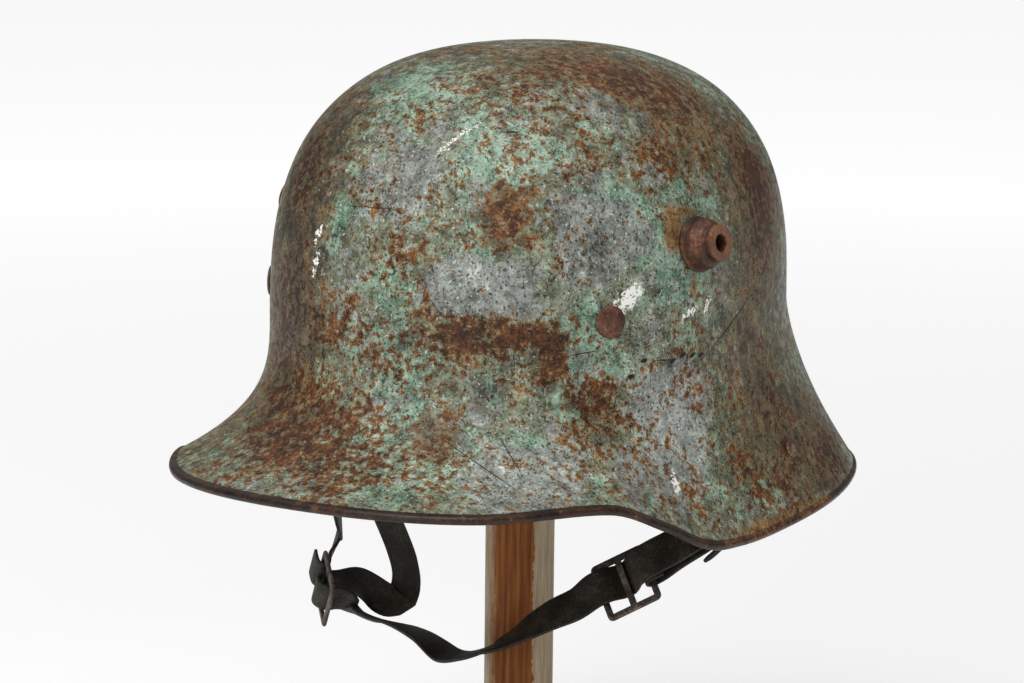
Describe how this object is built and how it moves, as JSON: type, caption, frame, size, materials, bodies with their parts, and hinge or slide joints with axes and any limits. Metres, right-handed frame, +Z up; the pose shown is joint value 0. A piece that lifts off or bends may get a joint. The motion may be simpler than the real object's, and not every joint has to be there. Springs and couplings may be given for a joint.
{
  "type": "military helmet with stand",
  "caption": "Flared steel helmet with a long neck guard, side lugs and a leather chin strap with slide buckles, held on a round wooden post with a plain foot.",
  "frame": {"origin": "centre of the base's underside, on the post's axis", "axes": "+Z up along the post, -Y to the helmet's front, +X to the wearer's left"},
  "size_m": [0.2482, 0.3072, 0.3428],
  "materials": {
    "painted_steel": "worn matt green and grey paint over rusting steel",
    "rusty_steel": "brown rusted steel",
    "buckle_steel": "dark tarnished steel",
    "strap_leather": "dark worn leather",
    "pine": "bare turned pine"
  },
  "bodies": {
    "root": {"shell": "painted_steel", "vent_lug_left": "rusty_steel", "vent_lug_right": "rusty_steel", "liner_rivet_left": "rusty_steel", "liner_rivet_right": "rusty_steel", "liner_rivet_rear": "rusty_steel", "strap_lug_left": "rusty_steel", "strap_lug_right": "rusty_steel", "chin_strap": "strap_leather", "strap_buckle_left": "buckle_steel", "strap_buckle_right": "buckle_steel", "thong_end": "strap_leather", "post": "pine", "head_block": "pine", "base": "pine"}
  },
  "joints": []
}
